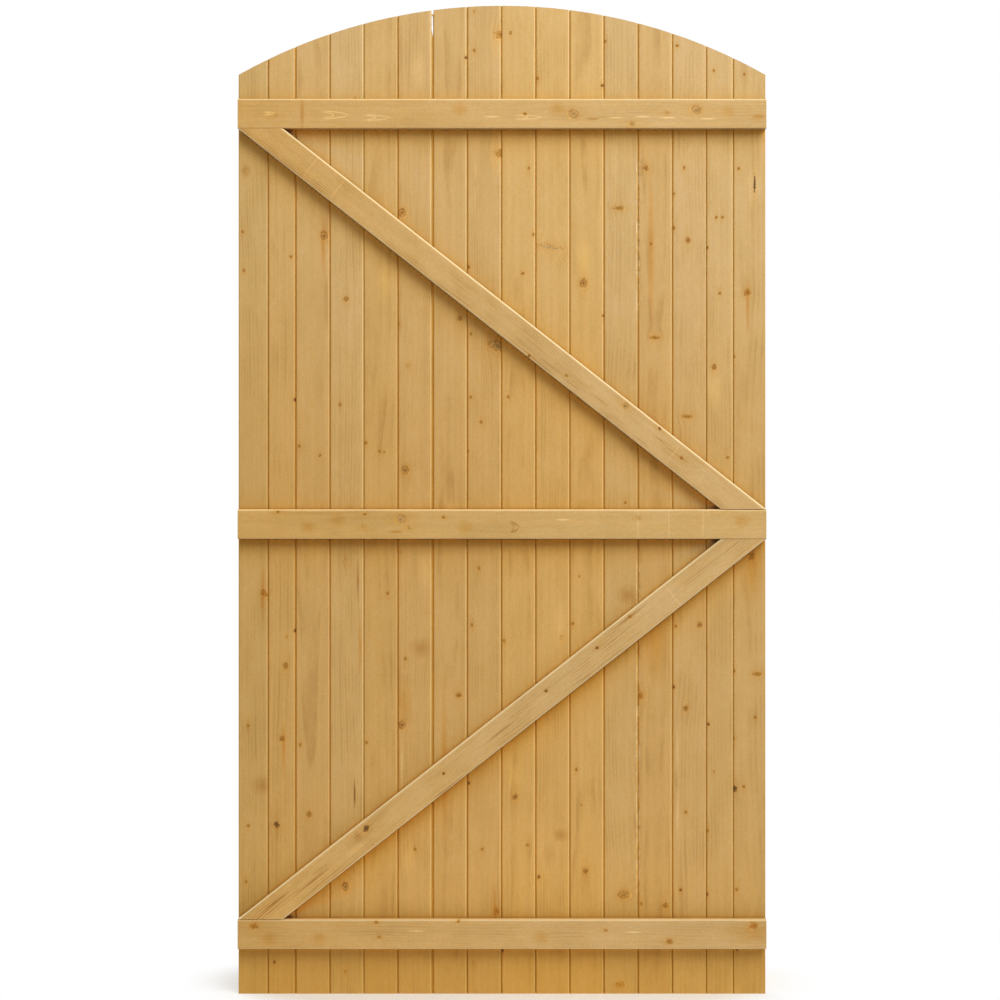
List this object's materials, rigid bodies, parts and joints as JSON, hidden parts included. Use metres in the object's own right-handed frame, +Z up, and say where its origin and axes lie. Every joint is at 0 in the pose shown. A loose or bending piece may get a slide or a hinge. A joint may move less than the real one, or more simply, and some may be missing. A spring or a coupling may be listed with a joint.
{
  "type": "arched wooden garden gate",
  "caption": "Arched garden gate leaf of vertical tongue and groove boards on level ledges with two diagonal braces.",
  "frame": {"origin": "under the middle of the leaf, on the level of the boards' feet, halfway through its thickness", "axes": "+Z up along the boards, +X to the right seen from the ledged side, +Y out of the boarded side"},
  "size_m": [0.976, 0.032, 1.83],
  "materials": {
    "boards": "planed spruce, dipped in a golden preservative",
    "ledges": "planed spruce with eased edges, dipped in a golden preservative",
    "braces": "planed spruce with eased edges, dipped in a golden preservative",
    "staples": "zinc coated wire"
  },
  "bodies": {
    "root": {"board_01": "boards", "board_02": "boards", "board_03": "boards", "board_04": "boards", "board_05": "boards", "board_06": "boards", "board_07": "boards", "board_08": "boards", "board_09": "boards", "board_10": "boards", "board_11": "boards", "board_12": "boards", "board_13": "boards", "board_14": "boards", "board_15": "boards", "board_16": "boards", "top_ledge": "ledges", "middle_ledge": "ledges", "bottom_ledge": "ledges", "upper_brace": "braces", "lower_brace": "braces", "top_ledge_staples": "staples", "middle_ledge_staples": "staples", "bottom_ledge_staples": "staples", "upper_brace_staples": "staples", "lower_brace_staples": "staples"}
  },
  "joints": []
}
